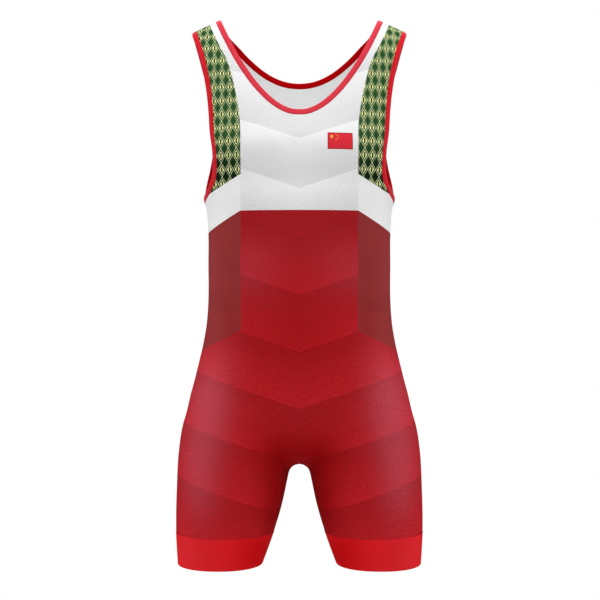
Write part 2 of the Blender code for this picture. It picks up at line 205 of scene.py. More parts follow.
# Finer creases, each on one side only, as uneven as on a worn garment
CREASES = (
    ((-12, -115, -190), (136, -84, -204), 25, 5.6),
    ((13, -115, -191), (-134, -84, -202), 24, 5.8),
    ((-14, -118, -244), (138, -66, -256), 20, -5.8),
    ((12, -118, -246), (-136, -66, -254), 21, -6.0),
    ((10, -114, -322), (92, -100, -316), 16, -1.2),
    ((-14, -114, -318), (-92, -100, -322), 16, -1.1),
    ((40, -110, -374), (120, -84, -366), 18, 1.4),
    ((-44, -110, -370), (-118, -84, -374), 18, 1.5),
    ((96, -96, -356), (144, -34, -366), 14, 1.4),
    ((-98, -96, -350), (-145, -30, -362), 15, 1.6),
    ((88, -92, -404), (140, -30, -398), 13, -1.4),
    ((-86, -92, -398), (-142, -34, -392), 12, -1.2),
    ((92, -86, -442), (132, -48, -466), 12, -1.8),
    ((-90, -86, -446), (-130, -50, -470), 11, -1.5),
    ((120, -86, -500), (172, -50, -650), 30, 3.0),
    ((-118, -86, -498), (-172, -50, -654), 31, 3.2),
    ((34, -98, -448), (88, -86, -462), 10, -0.8),
    ((-28, -98, -452), (-90, -86, -458), 11, -0.9),
    ((18, -100, -566), (74, -100, -540), 12, 0.9),
    ((-22, -100, -560), (-70, -100, -542), 13, 0.8),
    ((46, -98, -652), (96, -98, -628), 9, -1.1),
    ((-44, -98, -650), (-102, -98, -624), 10, -1.0),
    ((60, -92, -690), (30, -50, -716), 8, 0.9),
    ((-62, -92, -692), (-32, -50, -714), 8, 0.8),
    ((150, -56, -690), (190, -10, -672), 14, 1.0),
    ((-148, -58, -700), (-190, -12, -676), 15, 1.1),
    ((60, 104, -232), (132, 78, -250), 14, -1.3),
    ((-56, 104, -236), (-134, 76, -244), 13, -1.2),
    ((30, 108, -196), (104, 98, -214), 15, 1.1),
    ((-38, 108, -200), (-108, 96, -210), 16, 1.2),
    ((-20, 92, -418), (76, 84, -410), 9, -1.2),
    ((40, 92, -370), (-70, 86, -362), 12, 1.2),
    ((-60, 86, -392), (-142, 26, -384), 10, -1.1),
    ((66, 84, -386), (144, 22, -392), 11, -1.3),
    ((30, 98, -486), (120, 72, -474), 12, 1.0),
    ((-26, 98, -480), (-124, 70, -478), 12, 1.1),
    ((96, 112, -676), (168, 72, -662), 11, -1.2),
    ((-92, 112, -680), (-170, 70, -668), 12, -1.1),
    ((44, 96, -712), (92, 94, -704), 9, 1.0),
    ((-46, 96, -708), (-96, 94, -706), 9, 0.9),
)

# Turns a point to its mirror image
MIRROR = (-1, 1, 1)
# Points inside the openings, which tell a binding its free side
NECK_MIDDLE = (0, 0, 0)
ARMHOLE_MIDDLE = (200, 0, -120)

# Steps that bring a guide point onto the figure, and the probe that measures its slope
STEPS_TO_SURFACE = 14
PROBE = 0.5
NEARLY_ZERO = 1e-6
# Points this near are one point
SAME_POINT = 0.01
# Shares of a section are rounded to this many digits, so that equal ones are found
SHARE_DIGITS = 6
SHARP_ANGLE = 55
# What a mesh keeps for its materials, as columns of the places that print_places gives
PLACE_COLUMNS = {"print_place": [0, 1, 2], "knit_place": [3, 1, 2]}

# Print: borders of its colour fields, as height on the panel seam and slope outwards
PANEL_SEAM = 90.0
RED_BORDER = -298.0
RED_BORDER_SLOPE = 0.57
GREEN_BORDER = -243.0
GREEN_BORDER_SLOPE = 0.55
# Tonal chevrons: height of one tip, distance to the next, slope outwards, and the height on the
# middle line above which they are faint
RED_CHEVRONS = (-339.0, 87.0, 0.34, -339.0)
WHITE_CHEVRONS = (-190.5, 74.5, 0.34, 100.0)
# Above the faint height the chevrons keep only this share: the red field above the first tip stays
# dark, a painted shade
FAINT_SHARE = 0.25
# Painted light on the red: paler towards pink for painted highlights, mostly on the hips and thighs,
# and deeper for painted shade on the belly, crotch and inner thighs: distance from the middle
# line, height, half width, half height and share
BODY_PAINTED_LIGHT_TONES = (
    (118, -520, 30, 60, 0.03),
    (136, -592, 32, 70, 0.17),
    (154, -695, 30, 75, 0.15),
    (82, -390, 44, 40, 0.06),
    (45, -345, 110, 60, 0.02),
    (0, -495, 70, 45, -0.3),
    (70, -320, 50, 24, -0.06),
    (0, -668, 70, 34, -0.6),
    (38, -748, 26, 80, -0.6),
)
# Painted shade on the inside of each leg band, and a faint painted highlight on its outside
BAND_PAINTED_LIGHT_TONES = ((66, -828, 34, 50, -0.65), (170, -828, 34, 50, 0.03))
# Painted shade low on each side panel beside its seam, and a faint painted highlight at the waist
SIDE_PAINTED_LIGHT_TONES = ((104, -470, 16, 45, -0.3), (142, -380, 16, 60, 0.04))
# Painted shade on the green: under the chest fold, a narrow band near the armhole, faintly on the
# strap
GREEN_PAINTED_SHADE_TONES = ((118, -240, 80, 32, -0.85), (142, -190, 10, 90, -0.4), (122, -195, 60, 30, -0.08))
# Diamond repeat: width and height of one, and the middle of one of them on either side
DIAMOND_WIDTH = 12.35
DIAMOND_HEIGHT = 21.3
DIAMOND_MIDDLE_LEFT = 147.4
DIAMOND_MIDDLE_RIGHT = -143.7
DIAMOND_MIDDLE_HEIGHT = -150.0
SLIT_HALF_WIDTH = 0.1
SLIT_HALF_HEIGHT = 0.19
LOZENGE_REACH = 0.64
LATTICE_HALF_WIDTH = 0.05
# How soft the borders of the print are, and the edges of the diamonds' parts as shares of one
BORDER_SOFTNESS = 0.4
DIAMOND_SOFTNESS = 0.1
LATTICE_SOFTNESS = 0.04
# Where the green between two rings is half light and half dark, and how slowly it changes
GREEN_REACH = 1.5
GREEN_SOFTNESS = 0.5
# Above this height the repeat runs along the strap, not straight up
REPEAT_FOLLOWS_STRAP = -30.0
# Under the arm, below this height and nearer the side than this depth, the repeat runs round
# the body, not straight across
REPEAT_TURNS_BELOW = -150.0
REPEAT_FOLLOWS_SIDE = 72.0

# Flag: middle of its place on the chest, size, and its stars as on the national flag, in
# thirtieths of its width from the upper hoist corner: across, down, radius, turn in degrees
FLAG_MIDDLE = (61.0, -194.3)
FLAG_SIZE = (37.6, 25.0)
FLAG_RIM = 1.3
CHEST_DEPTH = -110.0
FLAG_CELLS = (26, 18)
FLAG_RISE = 0.12
FLAG_WALL = 0.1
STAR_RISE = 0.24
STAR_INNER = 0.382
STAR_CORNERS = 10
UPRIGHT = 90
FLAG_UNITS = 30
STARS = (
    (5, 5, 3.0, 0.0),
    (10, 2, 1.0, 23.0),
    (12, 4, 1.0, 46.0),
    (12, 7, 1.0, 0.0),
    (10, 9, 1.0, 20.0),
)

# The two sides of the garment, as they stand in the names of pieces.
SIDES = ("left", "right")
# Seams with a row of stitches on each kind of panel, and which side of the seam the row is on
STITCHED_SEAMS = {
    "body": (("panel", -1), ("panel_low", -1), ("side", -1), ("inseam", 1), ("band", 1)),
    "side": (("panel", 1), ("panel_low", 1)),
}

# Camera and studio, in metres
CAMERA_PLACE = (0.001, -2.0, -0.434)
CAMERA_LENS = 75.0
CAMERA_SENSOR = 36.0
FLOOR_HEIGHT = -1.45
FLOOR_RADIUS = 2.0
FLOOR_FADES_FROM = 0.9
FLOOR_SIDES = 96
FLOOR_ROUGHNESS = 0.8
FLOOR_TONE_SCALE = (3, 3, 3)
WORLD_LIGHT = 0.03
WORLD_SEEN = 1.0
LIGHT_TARGET = (0.0, 0.0, -0.45)
# Lights: name, place, power in watts, width and height in metres
LIGHTS = (
    ("high_light", (0, -2.2, 1.8), 44, 1.6, 1.2),
    ("top_light", (0, -0.6, 2.2), 36, 1.6, 1.2),
    ("level_light", (0, -3.2, -0.3), 18, 1.6, 1.2),
    ("left_rim_light", (-2.3, 0.7, 0.0), 28, 1.0, 2.2),
    ("right_rim_light", (2.3, 0.7, 0.0), 28, 1.0, 2.2),
    ("left_low_light", (-2.0, -0.8, -1.1), 7, 1.0, 1.0),
    ("right_low_light", (2.0, -0.8, -1.1), 7, 1.0, 1.0),
    ("high_back_light", (0, 2.2, 1.8), 60, 1.6, 1.2),
)

# Cloth: roughness, gloss, and the sheen of the kinds that have one
CLOTH_ROUGHNESS = 0.75
SPECULAR = 0.01
SHEEN_ROUGHNESS = 0.4
SHEEN_TINT = (1.0, 0.8, 0.96, 1.0)
BINDING_SHEEN = 0.15
REVERSE_SHEEN = 0.1
THREAD_SHEEN = 0.1
# Even knits: features per metre along each axis, contrast, and relief in mm
SMOOTH_KNIT = ((380, 380, 380), 0.06, 0.06)
SIDE_KNIT = ((380, 380, 380), 0.14, 0.1)
REVERSE_KNIT = ((120, 120, 360), 0.1, 0.1)
# Knit in rows: distance from row to row, length of a dash, sway of the rows, and relief
KNIT_PITCH = 3.1
KNIT_DASH = 9.5
KNIT_SWAY = 4.0
WAVE_SCALE = (45, 45, 45)
BODY_RELIEF = 0.2
FLAG_RELIEF = 0.15
# Below this height the rows of knit rise outwards
KNIT_BEND_HEIGHT = -500.0
KNIT_BEND_FADE = 110.0
KNIT_BEND_WIDTH = 30.0
KNIT_SLOPE = 0.22
STREAK_LENGTH = 9.0
STREAK_HEIGHT = 2.8
STREAK_SHARE = 0.6
STREAK_DETAIL = 1.0
# Contrast of the knit: least and extra share in a chevron, and its share in each colour
KNIT_LEAST = 0.5
KNIT_GAIN = 0.7
RED_KNIT = 0.6
WHITE_KNIT = 0.24
FLAG_KNIT = 0.12
# Slow changes of tone over all cloth
TONE_SCALE = (9, 9, 9)
TONE_SHARE = 0.08
NOISE_DETAIL = 2.0


def srgb(red, green, blue):
    """A colour given as it looks on a screen, from 0 to 255, in linear light as sRGB has it."""
    shares = np.array((red, green, blue)) / 255
    linear = np.where(shares <= 0.04045, shares / 12.92, ((shares + 0.055) / 1.055) ** 2.4)
    return (*linear.tolist(), 1.0)


RED_BRIGHT = srgb(190, 31, 38)
RED_DARK = srgb(167, 27, 32)
SIDE_RED = srgb(150, 53, 54)
# The neck binding's red is pinker than the armhole binding's: a painted sheen highlight
NECK_RED_PAINTED_SHEEN = srgb(220, 61, 76)
ARMHOLE_RED = srgb(214, 34, 46)
# Darker red on the inner half of each binding: painted shade
BINDING_INNER_PAINTED_SHADE_RED = srgb(178, 3, 9)
BAND_RED = srgb(222, 32, 38)
WHITE_BRIGHT = srgb(248, 248, 248)
WHITE_DARK = srgb(229, 229, 230)
REVERSE_WHITE = srgb(240, 242, 242)
GREEN_DARK = srgb(44, 80, 46)
GREEN_LIGHT = srgb(62, 96, 50)
OLIVE = srgb(42, 66, 12)
LATTICE = srgb(236, 252, 200)
PALE_YELLOW = srgb(236, 244, 172)
SLIT = srgb(48, 56, 2)
# Colours of the painted highlight and the painted shade that the tone tables mix in
PAINTED_HIGHLIGHT_PINK = srgb(234, 136, 160)
PAINTED_SHADE_RED = srgb(142, 1, 1)
BAND_PAINTED_SHADE_RED = srgb(194, 0, 0)
SHADED_GREEN = srgb(8, 16, 6)
THREAD_RED = srgb(150, 14, 26)
FLAG_RED = srgb(227, 51, 64)
FLAG_RIM_RED = srgb(168, 24, 34)
FLAG_YELLOW = srgb(250, 194, 86)
FLOOR_PALE = srgb(238, 238, 238)
FLOOR_PALER = srgb(242, 242, 242)


# ---------------------------------------------------------------- the figure and its net


def curve_through(xs, values, at):
    """A smooth curve through rows of values at rising xs, read at other places."""
    steps = np.diff(xs)[:, None]
    rises = np.diff(values, axis=0) / steps
    weights = steps[1:] / (steps[:-1] + steps[1:])
    slopes = np.empty_like(values)
    slopes[1:-1] = weights * rises[:-1] + (1 - weights) * rises[1:]
    slopes[0] = 2 * rises[0] - slopes[1]
    slopes[-1] = 2 * rises[-1] - slopes[-2]
    at = np.clip(at, xs[0], xs[-1])
    span = np.clip(np.searchsorted(xs, at, side="right") - 1, 0, len(steps) - 1)
    width = steps[span]
    t = (at - xs[span])[..., None] / width
    start = (2 * t**3 - 3 * t**2 + 1) * values[span] + (t**3 - 2 * t**2 + t) * width * slopes[span]
    end = (3 * t**2 - 2 * t**3) * values[span + 1] + (t**3 - t**2) * width * slopes[span + 1]
    return start + end


def columns_at(table, height):
    """The columns that follow a table's first one, its heights, read at other heights."""
    rows = np.array(sorted(table), float)
    return np.moveaxis(curve_through(rows[:, 0], rows[:, 1:], height), -1, 0)


def rounded_tube(place, sizes, end_length, squareness):
    """How far places, as across, deep and past the end, lie outside a tube, negative inside."""
    across, deep, past_end = place
    half_width, front, back = sizes
    across = np.abs(across) + NEARLY_ZERO
    past_end = np.clip(past_end, 0, None)
    ratio = (
        (across / half_width) ** squareness
        + np.abs(deep / np.where(deep < 0, front, back)) ** squareness
        + (past_end / end_length) ** squareness
    ) ** (1 / squareness)
    reach = np.sqrt(across**2 + deep**2 + past_end**2)
    return reach * (1 - 1 / ratio)


def outside_figure(points):
    """How far points lie outside the figure, negative inside."""
    x, y, z = points[..., 0], points[..., 1], points[..., 2]
    trunk = rounded_tube(
        (x, y, TRUNK_ROUNDS_FROM - z),
        columns_at(TRUNK, z),
        TRUNK_ROUNDS_FROM - TRUNK_ENDS_AT,
        TRUNK_SQUARENESS,
    )
    centre_x, centre_y, *leg_sizes = columns_at(LEG, z)
    leg = rounded_tube(
        (np.abs(x) - centre_x, y - centre_y, z - LEG_ROUNDS_FROM),
        leg_sizes,
        LEG_STARTS_AT - LEG_ROUNDS_FROM,
        LEG_SQUARENESS,
    )
    near = np.clip(BODY_BLEND - np.abs(trunk - leg), 0, None) / BODY_BLEND
    return np.minimum(trunk, leg) - near**2 * BODY_BLEND / 4


def outward(points):
    """The slope of the figure's surface at points: its direction points out of the cloth."""
    slope = np.empty(points.shape)
    for axis in range(3):
        step = np.zeros(3)
        step[axis] = PROBE
        slope[..., axis] = outside_figure(points + step) - outside_figure(points - step)
    return slope / (2 * PROBE)


def unit(vectors):
    return vectors / np.linalg.norm(vectors, axis=-1, keepdims=True)


def onto_figure(points, free=(1, 1, 1)):
    """Moves points onto the figure's surface, only along the axes that are free."""
    points = np.array(points, float)
    for _ in range(STEPS_TO_SURFACE):
        slope = outward(points) * np.asarray(free, float)
        points -= outside_figure(points)[..., None] * slope / (slope**2).sum(-1, keepdims=True)
    return points


def ridges(points, folds):
    """The height of folds at points, fading towards each fold's ends."""
    height = np.zeros(points.shape[:-1])
    for start, end, width, rise in folds:
        along = np.subtract(end, start)
        share = np.clip((points - start) @ along / (along @ along), 0, 1)
        distance = np.linalg.norm(points - start - share[..., None] * along, axis=-1)
        fade = 4 * share * (1 - share)
        height += rise * fade * np.exp(-((distance / width) ** 2))
    return height


def fold_height(points):
    """The height of all folds and creases at points."""
    on_left = np.stack([np.abs(points[..., 0]), points[..., 1], points[..., 2]], axis=-1)
    return ridges(on_left, FOLDS) + ridges(points, CREASES)


def raised(points, rise):
    """Points of the figure moved out to the folded cloth, and by a rise in front of it."""
    return points + unit(outward(points)) * (rise + fold_height(points))[:, None]


def with_neighbours(values, marked):
    """Rising values, with more of them close beside the marked ones."""
    extra = [mark + side * step for mark in marked for step in BESIDE_SEAM for side in (-1, 1)]
    inside = [value for value in extra if values[0] < value < values[-1]]
    return np.unique(np.round(np.concatenate([values, inside]), SHARE_DIGITS))


ROWS = with_neighbours(
    np.arange((len(SECTION_NAMES) - 1) * ROWS_PER_SECTION + 1) / ROWS_PER_SECTION,
    [SECTION_NAMES.index(name) for name in SEWN_ACROSS],
)
INNER_SHARES = with_neighbours(np.linspace(0, 1, INNER_COLUMNS + 1), (0, 1))
OUTER_SHARES = with_neighbours(np.linspace(0, 1, OUTER_COLUMNS + 1), (0, 1))
SEAM_COLUMN = len(INNER_SHARES) - 1


def row_of(name):
    """The net's row on a named section."""
    return int(np.searchsorted(ROWS, SECTION_NAMES.index(name) - NEARLY_ZERO))


def line_down(points, corners):
    """A line through one point of each section, smooth except at its corners."""
    points = np.array(points, float)
    ends = [0] + [SECTION_NAMES.index(name) for name in corners] + [len(points) - 1]
    line = np.empty((len(ROWS), 3))
    for first, last in zip(ends, ends[1:]):
        run = (ROWS >= first) & (ROWS <= last)
        line[run] = curve_through(np.arange(first, last + 1), points[first : last + 1], ROWS[run])
    return line


def quarter_net(sections):
    """The net of points of one quarter, as rows down the body by columns outwards."""
    inner = line_down([row[1] for row in sections], INNER_CORNERS)
    seam = line_down([row[2] for row in sections], ())
    outer = line_down([row[3] for row in sections], OUTER_CORNERS)
    inner_part = inner[:, None] + (seam - inner)[:, None] * INNER_SHARES[:-1, None]
    outer_part = seam[:, None] + (outer - seam)[:, None] * OUTER_SHARES[:, None]
    net = np.concatenate([inner_part, outer_part], axis=1)
    free = np.ones(net.shape)
    free[0, :, 1] = 0
    free[row_of("neck_low") : row_of("crotch") + 1, 0, 0] = 0
    free[row_of("crotch") :, 0, 1] = 0
    free[row_of("armhole_low") :, -1, 1] = 0
    free[row_of("band_top") :, :, 2] = 0
    return onto_figure(net, free)


# ---------------------------------------------------------------- where the print lies


def lengths_along(line):
    """How far each point of a line lies from its start, measured along it."""
    return np.concatenate([[0], np.cumsum(np.linalg.norm(np.diff(line, axis=0), axis=1))])


def repeat_heights(net):
    """Each row's height in the diamond repeat, measured along the bent strap, and how far each
    of its points lies above or below that.
    """
    middle = net[:, SEAM_COLUMN + len(OUTER_SHARES) // 2]
    from_shoulder = lengths_along(middle[:, 1:])
    straight = int(np.argmax(middle[:, 2] < REPEAT_FOLLOWS_STRAP))
    heights = middle[straight, 2] + from_shoulder[straight] - from_shoulder
    heights[straight:] = middle[straight:, 2]
    bent = np.clip(from_shoulder / from_shoulder[straight], 0, 1)
    return heights, (net[..., 2] - middle[:, None, 2]) * bent[:, None]


def girths(net):
    """How far each point lies from the middle line, measured along its row."""
    steps = np.linalg.norm(np.diff(net, axis=1), axis=2)
    return np.concatenate([net[:, :1, 0], net[:, :1, 0] + np.cumsum(steps, axis=1)], axis=1)


def print_places(nets):
    """For every point of both quarters: distance from the middle, height in the diamond repeat,
    height, and girth.
    """
    front_heights, front_offsets = repeat_heights(nets["front"])
    back_heights, back_offsets = repeat_heights(nets["back"])
    repeats = {
        "front": front_heights[:, None] + front_offsets,
        "back": front_heights[0] + (back_heights[0] - back_heights)[:, None] - back_offsets,
    }
    return {
        side: np.stack([net[..., 0], repeats[side], net[..., 2], girths(net)], axis=-1)
        for side, net in nets.items()
    }


# ---------------------------------------------------------------- patches of the net


def grid_faces(rows, columns, ring=False, tube=False):
    """The four-sided faces of a grid of points. A ring joins its last row to its first, and a
    tube its last column.
    """
    faces = []
    for row in range(rows if ring else rows - 1):
        after = (row + 1) % rows
        for column in range(columns if tube else columns - 1):
            beside = (column + 1) % columns
            corners = ((row, column), (after, column), (after, beside), (row, beside))
            faces.append(tuple(r * columns + c for r, c in corners))
    return faces


def patch(net, places, keep, flip):
    """The part of a net where keep(row, column) is true of a face: points, places and faces."""
    rows, columns = net.shape[:2]
    faces = [face for face in grid_faces(rows, columns) if keep(*divmod(face[0], columns))]
    if flip:
        faces = [face[::-1] for face in faces]
    return net.reshape(-1, 3), places.reshape(-1, 4), faces


def mirrored(points, places, faces):
    """The same patch on the other side of X = 0."""
    return points * MIRROR, places * (*MIRROR, -1), [face[::-1] for face in faces]


def joined(patches):
    """Patches as one, with the points that they share made one."""
    index = {}
    points = []
    places = []
    faces = []
    for patch_points, patch_places, patch_faces in patches:
        keys = np.round(patch_points / SAME_POINT).astype(int).tolist()
        for face in patch_faces:
            corners = []
            for corner in face:
                key = tuple(keys[corner])
                if key not in index:
                    index[key] = len(points)
                    points.append(patch_points[corner])
                    places.append(patch_places[corner])
                corners.append(index[key])
            faces.append(tuple(corners))
    return np.array(points), np.array(places), faces


def rim_of(faces):
    """The edges that only one face uses, in that face's direction."""
    edges = dict.fromkeys(edge for face in faces for edge in zip(face, face[1:] + face[:1]))
    return [edge for edge in edges if edge[::-1] not in edges]


def distance_from_rim(points, faces):
    """How far each point lies from the nearest point of the rim."""
    corners = sorted({corner for edge in rim_of(faces) for corner in edge})
    tree = KDTree(len(corners))
    for corner in corners:
        tree.insert(Vector(points[corner]), corner)
    tree.balance()
    return np.array([tree.find(Vector(point))[2] for point in points])


# ---------------------------------------------------------------- meshes


def add_object(name, data, place=(0, 0, 0)):
    """An object in the scene, at a place in metres."""
    made = bpy.data.objects.new(name, data)
    made.location = place
    bpy.context.scene.collection.objects.link(made)
    return made


def mesh_object(name, points, faces, places=None, materials=(), inner_faces=()):
    """A smooth mesh from points in millimetres. The inner faces take the second material."""
    mesh = bpy.data.meshes.new(name)
    mesh.from_pydata((points * MM).tolist(), [], faces)
    for material in materials:
        mesh.materials.append(material)
    if len(inner_faces):
        index = np.zeros(len(faces), np.int32)
        index[inner_faces] = 1
        mesh.polygons.foreach_set("material_index", index)
    if places is not None:
        for place, columns in PLACE_COLUMNS.items():
            attribute = mesh.attributes.new(place, "FLOAT_VECTOR", "POINT")
            attribute.data.foreach_set("vector", places[:, columns].astype(np.float32).ravel())
    mesh.update()
    mesh.shade_smooth()
    mesh.set_sharp_from_angle(angle=np.radians(SHARP_ANGLE))
    return add_object(name, mesh)


def closed_sheet(name, outer, inner, places, faces, materials):
    """A thin solid between two layers of points. The inner layer takes the second material."""
    count = len(outer)
    solid = list(faces)
    solid += [tuple(count + corner for corner in face[::-1]) for face in faces]
    solid += [(end, start, count + start, count + end) for start, end in rim_of(faces)]
    inner_faces = range(len(faces), 2 * len(faces)) if len(materials) > 1 else ()
    points = np.concatenate([outer, inner])
    return mesh_object(name, points, solid, np.concatenate([places, places]), materials, inner_faces)


def cloth_shell(name, points, places, faces, materials, rise=0.0, thickness=CLOTH_WALL):
    """A thin shell of cloth: grooved and raised along its seams, with rounded edges."""
    distance = distance_from_rim(points, faces)
    near = np.exp(-((distance / GROOVE_WIDTH) ** 2))
    allowance = ALLOWANCE_RISE * np.exp(-((distance / ALLOWANCE_WIDTH) ** 2))
    outer = raised(points, rise + allowance - GROOVE_DEPTH * near)
    inner = raised(points, rise - thickness + EDGE_ROUNDING * near)
    return closed_sheet(name, outer, inner, places, faces, materials)


def in_side_panel(row, column):
    """Whether a face of a quarter's net belongs to the side panel."""
    return row < row_of("side_panel_low") and column >= SEAM_COLUMN


def in_centre_panel(row, column):
    """Whether a face of a quarter's net belongs to the front or the back."""
    return row < row_of("band_top") and not in_side_panel(row, column)


def centre_panel(name, net, places, materials):
    """The front or the back: its middle above the side panels' ends, its whole width below."""
    half = patch(net, places, in_centre_panel, flip=name == "back")
    return cloth_shell(f"{name}_panel_knit", *joined([half, mirrored(*half)]), materials)


def side_panel(side, nets, places, materials):
    """A side panel: from the front strap under the arm to the back strap."""
    halves = [patch(nets[at], places[at], in_side_panel, flip=at == "back") for at in nets]
    if side == "right":
        halves = [mirrored(*half) for half in halves]
    return cloth_shell(f"side_panel_{side}_knit", *joined(halves), materials)


def leg_band(side, nets, places, materials):
    """The hem band, a closed ring round one leg."""
    rows = slice(row_of("band_top"), None)

    def ring_of(grids):
        around = np.concatenate([grids["front"][rows], grids["back"][rows, -2:0:-1]], axis=1)
        return around.swapaxes(0, 1)

    ring = ring_of(nets)
    points = ring.reshape(-1, 3)
    spots = ring_of(places).reshape(-1, 4)
    faces = [face[::-1] for face in grid_faces(*ring.shape[:2], ring=True)]
    if side == "right":
        points, spots, faces = mirrored(points, spots, faces)
    name = f"leg_band_{side}_knit"
    return cloth_shell(name, points, spots, faces, materials, BAND_RISE, BAND_WALL)


# ---------------------------------------------------------------- bindings


def neck_edge(nets):
    """The closed line of the cloth's edge round the neck."""
    low = row_of("neck_low")
    half = np.concatenate([nets["front"][low::-1, 0], nets["back"][1 : low + 1, 0]])
    return np.concatenate([half, (half * MIRROR)[-2:0:-1]])


def armhole_edge(nets):
    """The closed line of the cloth's edge round the left armhole."""
    low = row_of("armhole_low")
    return np.concatenate([nets["front"][: low + 1, -1], nets["back"][low - 1 : 0 : -1, -1]])


def across_binding(edge, opening):
    """Unit vectors from the cloth's edge into the opening, along the figure."""
    along = unit(np.roll(edge, -1, 0) - np.roll(edge, 1, 0))
    across = unit(np.cross(along, unit(outward(edge))))
    return -across if ((opening - edge) * across).sum() < 0 else across


def binding(name, edge, opening, materials):
    """A folded strip round a closed edge of the cloth: a flat tube with full sides."""
    across = across_binding(edge, opening)
    turn = np.linspace(0, 2 * np.pi, BINDING_SIDES, endpoint=False)
    power = 2 / BINDING_SQUARENESS
    flat = np.sign(np.cos(turn)) * np.abs(np.cos(turn)) ** power
    tall = np.sign(np.sin(turn)) * np.abs(np.sin(turn)) ** power
    reach = (BINDING_WIDTH + BINDING_TUCK) / 2 * (1 + flat) - BINDING_TUCK
    rings = [
        raised(onto_figure(edge + across * aside), BINDING_MIDDLE + BINDING_HALF_WALL * up)
        for aside, up in zip(reach, tall)
    ]
    tube = np.stack(rings, axis=1)
    points = tube.reshape(-1, 3)
    faces = grid_faces(*tube.shape[:2], ring=True, tube=True)
    corners = points[list(faces[0])]
    facing = np.cross(corners[1] - corners[0], corners[2] - corners[0])
    if facing @ (corners.mean(0) - tube[0].mean(0)) < 0:
        faces = [face[::-1] for face in faces]
    # The inner half of the tube takes the darker red, a painted shade
    inner = [place for place in range(len(faces)) if place % BINDING_SIDES >= BINDING_SIDES // 2]
    return mesh_object(name, points, faces, materials=materials, inner_faces=inner)


# ---------------------------------------------------------------- sewing


def sewn_line(line, offset):
    """A line moved sideways along the figure."""
    along = unit(np.gradient(line, axis=0))
    across = unit(np.cross(along, unit(outward(line))))
    return onto_figure(line + across * offset)


def stitch_places(line, closed):
    """The middle of each stitch along a line, and the line's direction there."""
    if closed:
        line = np.concatenate([line, line[:1]])
    lengths = lengths_along(line)
    beside = STITCH_PITCH / 4
    at = np.arange(STITCH_PITCH / 2, lengths[-1] - beside, STITCH_PITCH)
    here, before, after = (
        np.stack([np.interp(at + step, lengths, line[:, axis]) for axis in range(3)], axis=1)
        for step in (0, -beside, beside)
    )
    return here, unit(after - before)


def stitches(lines, rise, closed=False):
    """Thread beads along lines, a rise above the cloth: points and faces."""
    points = []
    faces = []
    for line in lines:
        middles, along = stitch_places(line, closed)
        normals = unit(outward(middles))
        across = unit(np.cross(along, normals))
        middles = raised(middles, rise)
        corners = (
            middles - along * STITCH_LENGTH / 2,
            middles + along * STITCH_LENGTH / 2,
            middles - across * STITCH_HALF_WIDTH,
            middles + across * STITCH_HALF_WIDTH,
            middles - normals * STITCH_RISE,
            middles + normals * STITCH_RISE,
        )
        for bead in np.stack(corners, axis=1):
            first = len(points)
            points.extend(bead)
            faces += [tuple(first + corner for corner in face) for face in BEAD_FACES]
    return np.array(points), faces


# ---------------------------------------------------------------- materials


class Value:
    """A result of a material's nodes. Arithmetic with it adds a node to the same material."""

    def __init__(self, finish, socket):
        self.finish = finish
        self.socket = socket

    def __abs__(self):
        return self.finish.math("ABSOLUTE", self)

    def __add__(self, other):
        return self.finish.math("ADD", self, other)

    def __sub__(self, other):
        return self.finish.math("SUBTRACT", self, other)

    def __rsub__(self, other):
        return self.finish.math("SUBTRACT", other, self)

    def __mul__(self, other):
        return self.finish.math("MULTIPLY", self, other)

    def __truediv__(self, other):
        return self.finish.math("DIVIDE", self, other)


